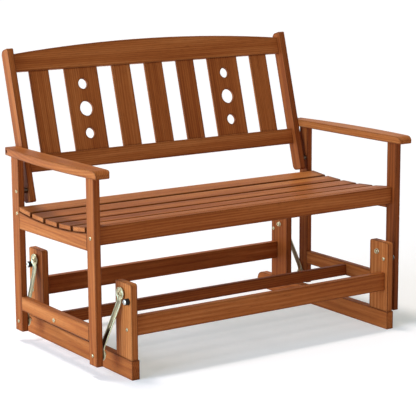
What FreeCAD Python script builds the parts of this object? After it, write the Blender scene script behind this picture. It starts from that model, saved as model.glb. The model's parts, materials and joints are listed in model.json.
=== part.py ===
"""Two-seat wooden glider bench on a fixed base, in millimetres.

The bench hangs on four pressed steel arms inside its own legs, so it swings
forward and back over two skids. X runs across the bench, -Y is the front,
+Z is up, and the origin is on the floor under the middle of the whole thing.
"""
import math
import os

import FreeCAD
import Part
from FreeCAD import Vector

# Legs and lower frame of the bench
bench_width = 1176.0
leg_thickness = 21.5
leg_depth = 47.0
leg_spacing = 482.0
leg_lift = 38.0
lower_rail_bottom = 109.0
lower_rail_height = 46.0
cross_rail_bottom = 110.5
cross_rail_height = 38.0
cross_rail_thickness = 20.0

# Armrests
armrest_front_height = 610.5
armrest_rear_height = 608.5
armrest_thickness = 25.0
armrest_front_width = 49.0
armrest_middle_width = 64.5
armrest_rear_width = 43.0
armrest_front_reach = 60.0
armrest_rear_reach = 50.0
armrest_corner_radius = 8.0
armrest_nose_length = 20.0
armrest_nose_drop = 13.0
armrest_nose_ease = 0.34

# Seat, whose heights hang from the front apron's top
apron_top = 459.0
seat_dip = 18.5
seat_radius = 1700.0
seat_low_offset = 20.0
slat_count = 5
slat_width = 73.0
slat_thickness = 15.0
slat_end_gap = 17.25
apron_height = 56.5
apron_thickness = 20.0
apron_setback = 20.0
rear_apron_drop = 19.0
rear_apron_height = 45.0
seat_rail_front_drop = 73.0
seat_rail_rear_drop = 81.0
seat_rail_gap = 4.0
bearer_inset = 160.0
bearer_thickness = 21.0
bearer_drop = 67.0
bearer_housing = 1.0

# Back
back_rake = 15.6
stile_foot_forward = 34.5
stile_foot_clearance = 10.5
stile_length = 498.0
stile_depth = 46.5
stile_thickness = 20.5
stile_gap = 15.5
back_rail_setback = 20.0
back_rail_thickness = 18.0
bottom_rail_start = 96.5
bottom_rail_height = 53.5
top_rail_drop = 74.0
top_rail_end_height = 57.5
top_rail_rise = 26.5
back_slat_width = 70.5
back_slat_thickness = 11.0
panel_width = 123.5
panel_hole_pitch = 82.5
panel_hole_large = 50.0
panel_hole_small = 35.0

# Base
skid_length = 736.0
skid_height = 59.0
skid_thickness = 25.5
skid_rear_radius = 30.0
swing_middle_from_skid_front = 332.0
side_gap = 62.5
upright_thickness = 20.5
upright_depth = 92.0
upright_top = 292.5
front_pivot_setback = 10.0
upright_corner_radius = 9.0
base_stretcher_bottom = 129.5
base_stretcher_height = 60.0
base_stretcher_thickness = 24.0
front_stretcher_setback = 15.0
rear_stretcher_setback = 10.0

# Glide arms, pivots and bumpers
upper_pivot_spacing = 546.0
upper_pivot_below_top = 36.5
lower_pivot_above_foot = 31.0
arm_eye_radius = 20.0
arm_body_half_width = 15.5
arm_shoulder_turn = 25.0
arm_shoulder_length = 11.0
arm_metal = 3.0
arm_rim_height = 5.0
arm_rim_width = 2.5
arm_upper_bend = 25.0
arm_lower_bend = 21.0
axial_clearance = 0.3
pivot_clearance = 0.1
open_pivot_clearance = 4.9
upper_bolt_radius = 5.0
lower_bolt_radius = 4.0
spacer_width = 22.0
spacer_length = 2.5
lower_spacer_length = 8.7
pivot_washer_radius = 12.0
washer_thickness = 2.0
nut_height = 7.0
nut_width = 15.0
head_height = 5.0
bumper_forward = 34.0
bumper_below = 21.0
bumper_radius = 11.0
bumper_length = 13.0

# Joint bolts and eased edges
joint_head_width = 11.0
joint_head_height = 3.0
rail_bolt_drop = 32.0
stile_bolt_rise = 35.0
rear_bolt_forward = 11.0
lower_rail_bolt_rise = 16.0
stretcher_bolt_rise = 20.5
armrest_bolt_inset = 10.5
armrest_bolt_recess = 14.0
recess_radius = 6.5
stile_spacer_width = 16.0
arris = 2.0
slat_edge_radius = 3.5
stile_top_radius = 18.0
stile_small_radius = 5.0

# How far a cutter runs past what it cuts, and the looseness for telling edges apart
cut_margin = 1.0
hair = 0.01

# Places worked out from the sizes
leg_outer = bench_width / 2
leg_inner = leg_outer - leg_thickness
mid_y = swing_middle_from_skid_front - skid_length / 2
front_leg_y = mid_y - leg_spacing / 2
rear_leg_y = mid_y + leg_spacing / 2
rail_front_y = front_leg_y + leg_depth / 2
rail_rear_y = rear_leg_y - leg_depth / 2
apron_front_y = front_leg_y - leg_depth / 2 + apron_setback
apron_back_y = apron_front_y + apron_thickness
rear_apron_front_y = rear_leg_y - apron_thickness / 2
slat_middle_y = (apron_back_y + rear_apron_front_y) / 2
slat_run = rear_apron_front_y - apron_back_y - 2 * slat_end_gap - slat_width
slat_pitch = slat_run / (slat_count - 1)
seat_low_height = apron_top - seat_dip
armrest_slope = math.atan2(armrest_front_height - armrest_rear_height, leg_spacing)
stile_outer = leg_inner - stile_gap
stile_inner = stile_outer - stile_thickness
rear_apron_top = apron_top - rear_apron_drop
stile_foot_rise = stile_depth * math.sin(math.radians(back_rake))
stile_foot_height = rear_apron_top + stile_foot_clearance + stile_foot_rise
stile_foot_y = rear_leg_y - stile_foot_forward
stile_bolt_height = stile_foot_height + stile_bolt_rise
top_rail_start = stile_length - top_rail_drop
upright_outer = leg_inner - side_gap
upright_inner = upright_outer - upright_thickness
skid_outer = upright_outer + (skid_thickness - upright_thickness) / 2
skid_inner = skid_outer - skid_thickness
front_upright_y = mid_y - upper_pivot_spacing / 2 - front_pivot_setback
rear_upright_y = mid_y + upper_pivot_spacing / 2
lower_pivot_z = leg_lift + lower_pivot_above_foot
upper_pivot_z = upright_top - upper_pivot_below_top
front_stretcher_y = front_upright_y - upright_depth / 2 + front_stretcher_setback
rear_stretcher_back_y = rear_upright_y + upright_depth / 2 - rear_stretcher_setback
rear_stretcher_y = rear_stretcher_back_y - base_stretcher_thickness
arm_upper_face = upright_outer + spacer_length + axial_clearance
arm_lower_face = leg_inner - lower_spacer_length - axial_clearance - arm_metal

SIDES = {"left": -1, "right": 1}
ENDS = {"front": -1, "rear": 1}
X_AXIS = Vector(1, 0, 0)
Y_AXIS = Vector(0, 1, 0)
Z_AXIS = Vector(0, 0, 1)


def board(x_range, y_range, z_range):
    """Return a square-edged board that fills three ranges."""
    (x0, x1), (y0, y1), (z0, z1) = x_range, y_range, z_range
    return Part.makeBox(x1 - x0, y1 - y0, z1 - z0, Vector(x0, y0, z0))


def edges_along(shape, axis, y=None, z=None):
    """Return the straight edges that run along an axis, all of them or those at one Y or Z."""
    found = []
    for edge in shape.Edges:
        start, end = edge.Vertexes[0].Point, edge.Vertexes[-1].Point
        run = end.sub(start)
        placed = (y is None or abs(start.y - y) < hair) and (z is None or abs(start.z - z) < hair)
        if placed and run.Length > hair and run.cross(axis).Length < hair:
            found.append(edge)
    return found


def ease(shape, axis):
    """Take the corners off the straight edges of a board that run along one axis."""
    return shape.makeChamfer(arris, edges_along(shape, axis))


def side_profile(points, x0, x1):
    """Extrude a closed outline given as (y, z) points from x0 to x1."""
    corners = [Vector(x0, y, z) for y, z in points]
    face = Part.Face(Part.makePolygon(corners + corners[:1]))
    return face.extrude(Vector(x1 - x0, 0, 0))


def x_rod(radius, x0, x1, y, z):
    """Return a round rod along X."""
    start, end = min(x0, x1), max(x0, x1)
    return Part.makeCylinder(radius, end - start, Vector(start, y, z), X_AXIS)


def x_hexagon(width, x0, x1, y, z):
    """Return a hexagonal nut along X, measured across its flats."""
    reach = width / 2 / math.cos(math.pi / 6)
    turns = [math.pi / 3 * step for step in range(6)]
    points = [(y + reach * math.cos(turn), z + reach * math.sin(turn)) for turn in turns]
    return side_profile(points, min(x0, x1), max(x0, x1))


def mirrored(shape, side):
    """Return the right-hand shape, or its mirror image for the left side."""
    if side > 0:
        return shape
    return shape.mirror(Vector(0, 0, 0), X_AXIS)


def armrest_underside(y):
    """Height of the armrest's sloping underside at one place along Y."""
    return armrest_rear_height + (rear_leg_y - y) * math.tan(armrest_slope)


def back_placed(shape):
    """Lean a piece that is modelled upright back by the rake.

    The upright piece has its foot at Z 0 and the stile's front face at Y 0.
    """
    placed = shape.copy()
    placed.rotate(Vector(0, 0, 0), X_AXIS, -back_rake)
    placed.translate(Vector(0, stile_foot_y, stile_foot_height))
    return placed


def seat_height(y, radius):
    """Height of an arc that shares the seat curve's center."""
    center_z = seat_low_height + seat_radius
    run = y - (mid_y + seat_low_offset)
    return center_z - math.sqrt(radius * radius - run * run)


def bolt_head(face_x, outward, y, z):
    """Return a hexagonal bolt head that sits on a face at face_x."""
    return x_hexagon(joint_head_width, face_x, face_x + outward * joint_head_height, y, z)


def bench_bolt_places():
    """Return the (y, z) places of the bolts on each outer side of the bench."""
    rear_bolt_y = rear_leg_y - rear_bolt_forward
    return [
        (front_leg_y, apron_top - rail_bolt_drop),
        (rear_bolt_y, apron_top - rail_bolt_drop),
        (rear_bolt_y, stile_bolt_height),
        (mid_y, lower_rail_bottom + lower_rail_bolt_rise),
    ]


def leg(end):
    """Return a right-hand leg with its drilled holes, cut to the armrest's slope."""
    y = front_leg_y if end < 0 else rear_leg_y
    front, back = y - leg_depth / 2, y + leg_depth / 2
    outline = [
        (front, leg_lift),
        (back, leg_lift),
        (back, armrest_underside(back)),
        (front, armrest_underside(front)),
    ]
    post = ease(side_profile(outline, leg_inner, leg_outer), Z_AXIS)
    radius = lower_bolt_radius + pivot_clearance
    return post.cut(x_rod(radius, leg_inner - cut_margin, leg_outer + cut_margin, y, lower_pivot_z))


def armrest_range():
    """Return the armrest's front and rear ends along Y."""
    return front_leg_y - armrest_front_reach, rear_leg_y + armrest_rear_reach


def armrest_bow():
    """Return the arc of the armrest's bowed outer edge, in plan."""
    front, rear = armrest_range()
    return Part.Arc(
        Vector(stile_outer + armrest_rear_width, rear, 0),
        Vector(stile_outer + armrest_middle_width, (front + rear) / 2, 0),
        Vector(stile_outer + armrest_front_width, front, 0),
    ).toShape()


def armrest_bolt_place():
    """Return the (x, y, z) of the sunk seat of the bolt that ties the armrest to the stile."""
    y = rear_leg_y + armrest_rear_reach - armrest_bolt_inset
    z = armrest_underside(y) + armrest_thickness / 2
    return stile_outer + armrest_rear_width - armrest_bolt_recess, y, z


def armrest():
    """Return the right-hand armrest, whose straight inner edge meets the back stile."""
    front, rear = armrest_range()
    radius = armrest_corner_radius
    turn = radius * (1 - math.sqrt(0.5))
    corner = Part.Arc(
        Vector(stile_outer + radius, front, 0),
        Vector(stile_outer + turn, front + turn, 0),
        Vector(stile_outer, front + radius, 0),
    )
    front_outer = Vector(stile_outer + armrest_front_width, front, 0)
    rear_outer = Vector(stile_outer + armrest_rear_width, rear, 0)
    rear_inner = Vector(stile_outer, rear, 0)
    straight = [
        Part.makeLine(front_outer, Vector(stile_outer + radius, front, 0)),
        Part.makeLine(Vector(stile_outer, front + radius, 0), rear_inner),
        Part.makeLine(rear_inner, rear_outer),
    ]
    outline = Part.__sortEdges__([armrest_bow(), corner.toShape()] + straight)
    top = Part.Face(Part.Wire(outline)).extrude(Vector(0, 0, armrest_thickness))
    long_edges = [edge for edge in top.Edges if edge.BoundBox.YLength > (rear - front) / 2]
    top = top.makeChamfer(arris, long_edges).cut(armrest_nose_cutter(front))
    top.rotate(Vector(0, rear_leg_y, 0), X_AXIS, -math.degrees(armrest_slope))
    top.translate(Vector(0, 0, armrest_rear_height))
    seat_x, y, z = armrest_bolt_place()
    return top.cut(x_rod(recess_radius, seat_x, stile_outer + armrest_middle_width, y, z))


def armrest_nose_cutter(front):
    """Return the cutter that rounds an armrest's top front edge over a long, low curve."""
    low = armrest_thickness - armrest_nose_drop
    eased = armrest_thickness - armrest_nose_drop * armrest_nose_ease
    at_front = Vector(0, front, low)
    middle = Vector(0, front + armrest_nose_length * armrest_nose_ease, eased)
    at_top = Vector(0, front + armrest_nose_length, armrest_thickness)
    outside = [
        at_top,
        Vector(0, at_top.y, armrest_thickness + cut_margin),
        Vector(0, front - cut_margin, armrest_thickness + cut_margin),
        Vector(0, front - cut_margin, low),
        at_front,
    ]
    edges = [Part.Arc(at_front, middle, at_top).toShape()] + Part.makePolygon(outside).Edges
    return Part.Face(Part.Wire(edges)).extrude(Vector(2 * leg_outer, 0, 0))


def seat_slat(index):
    """Return one seat slat, set square to the seat's dish."""
    y = slat_middle_y + (index - (slat_count - 1) / 2) * slat_pitch
    slat = board((-leg_outer, leg_outer), (-slat_width / 2, slat_width / 2), (-slat_thickness, 0.0))
    slat = slat.makeFillet(slat_edge_radius, edges_along(slat, X_AXIS, z=0.0))
    run = y - (mid_y + seat_low_offset)
    slat.rotate(Vector(0, 0, 0), X_AXIS, math.degrees(math.asin(run / seat_radius)))
    slat.translate(Vector(0, y, seat_height(y, seat_radius)))
    return slat


def front_apron():
    """Return the front apron between the front legs."""
    apron = board(
        (-leg_inner, leg_inner),
        (apron_front_y, apron_back_y),
        (apron_top - apron_height, apron_top),
    )
    return ease(apron, X_AXIS)


def rear_apron():
    """Return the rear apron between the rear legs."""
    apron = board(
        (-leg_inner, leg_inner),
        (rear_apron_front_y, rear_apron_front_y + apron_thickness),
        (rear_apron_top - rear_apron_height, rear_apron_top),
    )
    return ease(apron, X_AXIS)


def seat_rail():
    """Return the right-hand seat rail with its hollow top edge."""
    radius = seat_radius + slat_thickness + seat_rail_gap
    places = [rail_front_y, mid_y, rail_rear_y]
    hollow = [Vector(leg_inner, y, seat_height(y, radius)) for y in places]
    rest = Part.makePolygon(
        [
            hollow[2],
            Vector(leg_inner, rail_rear_y, apron_top - seat_rail_rear_drop),
            Vector(leg_inner, rail_front_y, apron_top - seat_rail_front_drop),
            hollow[0],
        ]
    )
    face = Part.Face(Part.Wire([Part.Arc(*hollow).toShape()] + rest.Edges))
    return face.extrude(Vector(leg_thickness, 0, 0))


def seat_bearer(x, slats):
    """Return a bearer across the seat with a shallow housing for each slat."""
    face_x = x - bearer_thickness / 2
    top_radius = seat_radius + slat_thickness - bearer_housing
    points = [apron_back_y, mid_y, rear_apron_front_y]
    arc_points = [Vector(face_x, y, seat_height(y, top_radius)) for y in points]
    rest = Part.makePolygon(
        [
            arc_points[2],
            Vector(face_x, rear_apron_front_y, apron_top - bearer_drop),
            Vector(face_x, apron_back_y, apron_top - bearer_drop),
            arc_points[0],
        ]
    )
    face = Part.Face(Part.Wire([Part.Arc(*arc_points).toShape()] + rest.Edges))
    return face.extrude(Vector(bearer_thickness, 0, 0)).cut(slats)


def lower_rail():
    """Return the right-hand lower rail between the legs."""
    rail = board(
        (leg_inner, leg_outer),
        (rail_front_y, rail_rear_y),
        (lower_rail_bottom, lower_rail_bottom + lower_rail_height),
    )
    return ease(rail, Y_AXIS)


def cross_rail():
    """Return the bench's lower cross rail, between the middles of the lower rails."""
    rail = board(
        (-leg_inner, leg_inner),
        (mid_y - cross_rail_thickness / 2, mid_y + cross_rail_thickness / 2),
        (cross_rail_bottom, cross_rail_bottom + cross_rail_height),
    )
    return ease(rail, X_AXIS)


def back_stile():
    """Return the right-hand back stile with its rounded ends."""
    post = board((stile_inner, stile_outer), (0.0, stile_depth), (0.0, stile_length))
    post = post.makeFillet(stile_top_radius, edges_along(post, X_AXIS, y=stile_depth))
    post = post.makeFillet(stile_small_radius, edges_along(post, X_AXIS, y=0.0))
    return back_placed(post)


def back_rail_range():
    """Return the depth range of the two back rails behind the stile's front face."""
    return back_rail_setback, back_rail_setback + back_rail_thickness


def bottom_back_rail():
    """Return the straight bottom rail of the back."""
    rail = board(
        (-stile_inner, stile_inner),
        back_rail_range(),
        (bottom_rail_start, bottom_rail_start + bottom_rail_height),
    )
    return back_placed(ease(rail, X_AXIS))


def top_back_rail():
    """Return the top rail of the back, arched along its top edge."""
    near, far = back_rail_range()
    end_top = top_rail_start + top_rail_end_height
    left_end, right_end = Vector(-stile_inner, near, end_top), Vector(stile_inner, near, end_top)
    crown = Vector(0, near, end_top + top_rail_rise)
    low_corners = [Vector(side * stile_inner, near, top_rail_start) for side in (1, -1)]
    rest = Part.makePolygon([right_end] + low_corners + [left_end])
    edges = [Part.Arc(left_end, crown, right_end).toShape()] + rest.Edges
    rail = Part.Face(Part.Wire(edges)).extrude(Vector(0, far - near, 0))
    arched = [edge for edge in rail.Edges if edge.BoundBox.ZMax > end_top + hair]
    return back_placed(rail.makeChamfer(arris, arched))


def infill_centers():
    """Return the (kind, x) list of the back's seven boards, left to right, with equal gaps."""
    kinds = ["slat", "panel", "slat", "slat", "slat", "panel", "slat"]
    widths = [panel_width if kind == "panel" else back_slat_width for kind in kinds]
    gap = (2 * stile_inner - sum(widths)) / (len(kinds) + 1)
    centers = []
    edge = -stile_inner
    for kind, width in zip(kinds, widths):
        edge += gap
        centers.append((kind, edge + width / 2))
        edge += width
    return centers


def back_board(x, width):
    """Return one upright board of the back between the two back rails."""
    near = back_rail_setback + (back_rail_thickness - back_slat_thickness) / 2
    slat = board(
        (x - width / 2, x + width / 2),
        (near, near + back_slat_thickness),
        (bottom_rail_start + bottom_rail_height, top_rail_start),
    )
    return ease(slat, Z_AXIS)


def back_panel(x):
    """Return a wide board of the back with its three round holes."""
    panel = back_board(x, panel_width)
    middle = (bottom_rail_start + bottom_rail_height + top_rail_start) / 2
    sizes = {-1: panel_hole_small, 0: panel_hole_large, 1: panel_hole_small}
    for step, diameter in sizes.items():
        start = Vector(x, 0, middle + step * panel_hole_pitch)
        panel = panel.cut(Part.makeCylinder(diameter / 2, 2 * stile_depth, start, Y_AXIS))
    return back_placed(panel)


def skid():
    """Return the right-hand skid, rounded at its rear top corner."""
    half = skid_length / 2
    runner = board((skid_inner, skid_outer), (-half, half), (0.0, skid_height))
    return runner.makeFillet(skid_rear_radius, edges_along(runner, X_AXIS, y=half, z=skid_height))


def upright(end):
    """Return a right-hand upright that stands on the skid and carries an arm."""
    y = front_upright_y if end < 0 else rear_upright_y
    post = board(
        (upright_inner, upright_outer),
        (y - upright_depth / 2, y + upright_depth / 2),
        (skid_height, upright_top),
    )
    post = post.makeFillet(upright_corner_radius, edges_along(post, X_AXIS, z=upright_top))
    pivot_y, pivot_z = upper_pivot(end)
    radius = upper_bolt_radius + pivot_clearance
    start, end = upright_inner - cut_margin, upright_outer + cut_margin
    return post.cut(x_rod(radius, start, end, pivot_y, pivot_z))


def upper_pivot(end):
    """Return the (y, z) of the pivot where an arm hangs on its upright."""
    return mid_y + end * upper_pivot_spacing / 2, upper_pivot_z


def lower_pivot(end):
    """Return the (y, z) of the pivot where an arm carries the bench's leg."""
    return (front_leg_y if end < 0 else rear_leg_y), lower_pivot_z


def bumper_place(end):
    """Return the (y, z) of the rubber bumper that stops an arm's swing."""
    y, z = upper_pivot(end)
    return y + end * bumper_forward, z - bumper_below


def stretcher_bolt_place(end):
    """Return the (y, z) of the bolt that holds a base stretcher's end."""
    y = front_stretcher_y if end < 0 else rear_stretcher_y
    return y + base_stretcher_thickness / 2, base_stretcher_bottom + stretcher_bolt_rise


def base_stretcher(end):
    """Return a stretcher between the two uprights at one end of the base."""
    y = front_stretcher_y if end < 0 else rear_stretcher_y
    bar = board(
        (-upright_inner, upright_inner),
        (y, y + base_stretcher_thickness),
        (base_stretcher_bottom, base_stretcher_bottom + base_stretcher_height),
    )
    return ease(bar, X_AXIS)


def arm_outline(length, inset):
    """Return the arm's flat outline, set in by inset, with its upper eye at the origin.

    Each eye is a round arc that runs through straight shoulders into the straight body.
    """
    eye = arm_eye_radius - inset
    half = arm_body_half_width - inset
    turn = math.radians(arm_shoulder_turn)
    touch_y, touch_z = eye * math.cos(turn), eye * math.sin(turn)
    body_z = touch_z + arm_shoulder_length
    edges = []
    for near, far in ((0.0, -1), (-length, 1)):
        shoulders = [Vector(0, side * touch_y, near + far * touch_z) for side in (1, -1)]
        corners = [Vector(0, side * half, near + far * body_z) for side in (1, -1)]
        edges.append(Part.Arc(shoulders[0], Vector(0, 0, near - far * eye), shoulders[1]).toShape())
        edges += [Part.makeLine(*ends) for ends in zip(shoulders, corners)]
    for side in (1, -1):
        ends = Vector(0, side * half, -body_z), Vector(0, side * half, body_z - length)
        edges.append(Part.makeLine(*ends))
    return Part.Face(Part.Wire(Part.__sortEdges__(edges)))


def arm_ribbon(length, depth):
    """Return the joggled strip, seen from the front, that the arm's web and rim follow."""
    shift = arm_lower_face - arm_upper_face
    past = arm_eye_radius + cut_margin
    inner = [
        (0.0, past),
        (0.0, -arm_upper_bend),
        (shift, arm_lower_bend - length),
        (shift, -past - length),
    ]
    outer = [(x + depth, z) for x, z in reversed(inner)]
    corners = [Vector(x, -past, z) for x, z in inner + outer]
    face = Part.Face(Part.makePolygon(corners + corners[:1]))
    return face.extrude(Vector(0, 2 * past, 0))


def glide_arm(end, lower_clearance):
    """Return a right-hand pressed arm: a joggled web with a turned-out rim and two eyes."""
    (upper_y, upper_z), (lower_y, lower_z) = upper_pivot(end), lower_pivot(end)
    length = math.hypot(lower_y - upper_y, upper_z - lower_z)
    reach = Vector(2 * side_gap, 0, 0)
    start = Vector(-side_gap / 2, 0, 0)

    def prism(inset):
        face = arm_outline(length, inset)
        face.translate(start)
        return face.extrude(reach)

    web = prism(0.0).common(arm_ribbon(length, arm_metal))
    rim_ribbon = arm_ribbon(length, arm_metal + arm_rim_height)
    arm = web.fuse(prism(0.0).cut(prism(arm_rim_width)).common(rim_ribbon))
    upper_hole = x_rod(upper_bolt_radius + pivot_clearance, -side_gap, side_gap * 2, 0, 0)
    lower_hole = x_rod(lower_bolt_radius + lower_clearance, -side_gap, side_gap * 2, 0, -length)
    arm = arm.cut([upper_hole, lower_hole]).removeSplitter()
    lean = math.degrees(math.atan2(lower_y - upper_y, upper_z - lower_z))
    arm.rotate(Vector(0, 0, 0), X_AXIS, lean)
    arm.translate(Vector(arm_upper_face, upper_y, upper_z))
    return arm


def upper_hardware(end):
    """Return the right-hand pivot bolt of an upright, with its spacer under the arm and its nut."""
    y, z = upper_pivot(end)
    web_outer = arm_upper_face + arm_metal + axial_clearance
    parts = [
        x_rod(upper_bolt_radius, upright_inner - nut_height / 2, web_outer + head_height / 2, y, z),
        x_hexagon(nut_width, upright_inner - nut_height, upright_inner, y, z),
        x_hexagon(spacer_width, upright_outer, upright_outer + spacer_length, y, z),
        x_hexagon(nut_width, web_outer, web_outer + head_height, y, z),
    ]
    return parts[0].multiFuse(parts[1:])


def lower_hardware(end):
    """Return the right-hand pivot bolt of a leg with its spacer, washer and nut."""
    y, z = lower_pivot(end)
    web_inner = arm_lower_face - axial_clearance
    washer_inner = web_inner - washer_thickness
    parts = [
        x_rod(lower_bolt_radius, washer_inner - nut_height / 2, leg_outer, y, z),
        bolt_head(leg_outer, 1, y, z),
        x_hexagon(spacer_width, leg_inner - lower_spacer_length, leg_inner, y, z),
        x_rod(pivot_washer_radius, washer_inner, web_inner, y, z),
        x_hexagon(nut_width, washer_inner - nut_height, washer_inner, y, z),
    ]
    return parts[0].multiFuse(parts[1:])


def bumper(end):
    """Return a right-hand rubber bumper."""
    y, z = bumper_place(end)
    return x_rod(bumper_radius, upright_outer, upright_outer + bumper_length, y, z)


def bumper_nuts():
    """Return the nuts on the inner faces of the right-hand uprights that hold the bumpers."""
    places = [bumper_place(end) for end in ENDS.values()]
    return Part.makeCompound([bolt_head(upright_inner, -1, y, z) for y, z in places])


def bench_side_bolts():
    """Return the bolt heads on the bench's right-hand side, with the one sunk in the armrest."""
    heads = [bolt_head(leg_outer, 1, y, z) for y, z in bench_bolt_places()]
    heads.append(bolt_head(armrest_bolt_place()[0], 1, *armrest_bolt_place()[1:]))
    return Part.makeCompound(heads)


def stile_spacer():
    """Return the hexagonal spacer on the bolt between the right rear leg and its back stile."""
    y = rear_leg_y - rear_bolt_forward
    return x_hexagon(stile_spacer_width, stile_outer, leg_inner, y, stile_bolt_height)


def base_side_bolts():
    """Return the two stretcher bolts' heads on the base's right-hand side."""
    places = [stretcher_bolt_place(end) for end in ENDS.values()]
    return Part.makeCompound([bolt_head(upright_outer, 1, y, z) for y, z in places])


def paired_nodes():
    """Return every wooden piece and arm that has a left and a right hand."""
    nodes = {}
    for side_name, side in SIDES.items():
        pieces = {
            "armrest": armrest(),
            "seat_rail": seat_rail(),
            "lower_rail": lower_rail(),
            "back_stile": back_stile(),
            "skid": skid(),
        }
        for end_name, end in ENDS.items():
            clearance = open_pivot_clearance if end > 0 else pivot_clearance
            pieces[f"{end_name}_leg"] = leg(end)
            pieces[f"{end_name}_upright"] = upright(end)
            pieces[f"{end_name}_arm"] = glide_arm(end, clearance)
        for name, shape in pieces.items():
            nodes[f"{name}_{side_name}"] = mirrored(shape, side)
    return nodes


def hardware_nodes():
    """Return the nodes that hold the same hardware for both hands."""
    sets = {
        "bench_bolts": bench_side_bolts(),
        "base_bolts": base_side_bolts(),
        "bumper_nuts": bumper_nuts(),
        "stile_spacers": stile_spacer(),
    }
    for end_name, end in ENDS.items():
        sets[f"{end_name}_bumpers"] = bumper(end)
        sets[f"{end_name}_upper_pivots"] = upper_hardware(end)
        sets[f"{end_name}_lower_pivots"] = lower_hardware(end)
    both = {}
    for name, shape in sets.items():
        solids = [mirrored(solid, side) for side in SIDES.values() for solid in shape.Solids]
        both[name] = Part.makeCompound(solids)
    return both


def single_nodes():
    """Return every node that runs across the bench or stands alone."""
    slats = [seat_slat(index) for index in range(slat_count)]
    nodes = {f"seat_slat_{index + 1}": slat for index, slat in enumerate(slats)}
    bearer_x = leg_outer - bearer_inset
    for name, x in (("left", -bearer_x), ("middle", 0.0), ("right", bearer_x)):
        nodes[f"seat_bearer_{name}"] = seat_bearer(x, slats)
    nodes["front_apron"] = front_apron()
    nodes["rear_apron"] = rear_apron()
    nodes["cross_rail"] = cross_rail()
    nodes["back_bottom_rail"] = bottom_back_rail()
    nodes["back_top_rail"] = top_back_rail()
    counts = {"slat": 0, "panel": 0}
    for kind, x in infill_centers():
        counts[kind] += 1
        shape = back_panel(x) if kind == "panel" else back_placed(back_board(x, back_slat_width))
        nodes[f"back_{kind}_{counts[kind]}"] = shape
    for end_name, end in ENDS.items():
        nodes[f"{end_name}_stretcher"] = base_stretcher(end)
    return nodes


def build():
    """Write one STEP file for every node."""
    os.makedirs("parts", exist_ok=True)
    nodes = {**paired_nodes(), **hardware_nodes(), **single_nodes()}
    for name, shape in nodes.items():
        if not shape.isValid():
            raise ValueError(f"{name} is not a valid shape")
        shape.exportStep(f"parts/{name}.step")
    print(f"{len(nodes)} nodes written")


build()
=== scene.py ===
"""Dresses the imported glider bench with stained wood, plated arms and its small hardware.

The bench hangs on four joggled steel arms from a base with two skids. Everything here is in
metres in the part's own frame: +X is across the bench, -Y is the front and +Z is up. Only the
profiles of turned pieces are in millimetres.
"""

import json
import logging
import math
from dataclasses import dataclass
from enum import Enum

import bpy
import numpy as np
from mathutils import Matrix, Vector

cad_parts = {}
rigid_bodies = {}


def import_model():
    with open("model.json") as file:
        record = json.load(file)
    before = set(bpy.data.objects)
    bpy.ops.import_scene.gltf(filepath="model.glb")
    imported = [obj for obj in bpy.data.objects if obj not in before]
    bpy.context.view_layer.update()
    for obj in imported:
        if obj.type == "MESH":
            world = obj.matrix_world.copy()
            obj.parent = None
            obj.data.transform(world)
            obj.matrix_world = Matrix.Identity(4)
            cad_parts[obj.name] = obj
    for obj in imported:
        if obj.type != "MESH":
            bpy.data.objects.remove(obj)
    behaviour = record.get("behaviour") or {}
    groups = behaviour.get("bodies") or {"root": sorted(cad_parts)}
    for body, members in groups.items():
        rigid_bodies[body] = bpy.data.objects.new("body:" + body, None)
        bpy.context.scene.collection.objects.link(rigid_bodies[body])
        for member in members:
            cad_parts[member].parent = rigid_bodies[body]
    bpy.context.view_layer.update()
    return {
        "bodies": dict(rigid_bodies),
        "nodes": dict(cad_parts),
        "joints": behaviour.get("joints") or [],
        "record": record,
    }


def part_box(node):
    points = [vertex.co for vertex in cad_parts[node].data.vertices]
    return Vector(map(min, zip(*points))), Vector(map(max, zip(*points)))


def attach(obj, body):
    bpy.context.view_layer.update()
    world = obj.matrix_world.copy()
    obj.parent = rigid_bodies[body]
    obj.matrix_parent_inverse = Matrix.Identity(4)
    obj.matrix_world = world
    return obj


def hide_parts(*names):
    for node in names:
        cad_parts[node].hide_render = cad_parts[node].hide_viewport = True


log = logging.getLogger("glider_bench")

Colour = tuple[float, float, float]
Point = tuple[float, float, float]
Stops = tuple[tuple[float, Colour], ...]
Profile = tuple[tuple[float, float, float], ...]
Socket = bpy.types.NodeSocket
Value = Socket | float | tuple[float, ...]

MILLIMETRE = 0.001
CREASE = math.radians(32.0)
FLATS = 6
NOISE_LIMITS = (0.3, 0.7)
# The cosines between which the painted shade along edges fades in.
EDGE_COSINES = (0.997, 0.88)
WHITE: Colour = (1.0, 1.0, 1.0)


class Grain(Enum):
    """The direction in which a board's fibres run."""

    ACROSS = "across"
    FORE_AFT = "front to back"
    UPRIGHT = "upright"
    RAKED = "raked like the back"

    @property
    def axes(self) -> tuple[int, int, int]:
        """Return the part's axes in an order that puts the fibres' own axis last."""
        return {Grain.ACROSS: (1, 2, 0), Grain.FORE_AFT: (0, 2, 1)}.get(self, (0, 1, 2))


class End(Enum):
    """An end of the bench, and its sign along Y."""

    FRONT = -1.0
    REAR = 1.0


class Hand(Enum):
    """A side of the bench, and its sign along X."""

    LEFT = -1.0
    RIGHT = 1.0


class Slot(Enum):
    """A material slot of the record."""

    WOOD = "stained_wood"
    ARM = "plated_arm"
    STEEL = "bolt_steel"
    RUBBER = "bumper_rubber"


class Plating(Enum):
    """The plating of a small fixing: its clean colour, and the dull one of its patches."""

    YELLOWED = ((0.62, 0.54, 0.34), (0.34, 0.27, 0.15))
    BLACKENED = ((0.1, 0.07, 0.05), (0.05, 0.03, 0.02))
    BRIGHT = ((0.8, 0.8, 0.74), (0.55, 0.54, 0.48))


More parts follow.
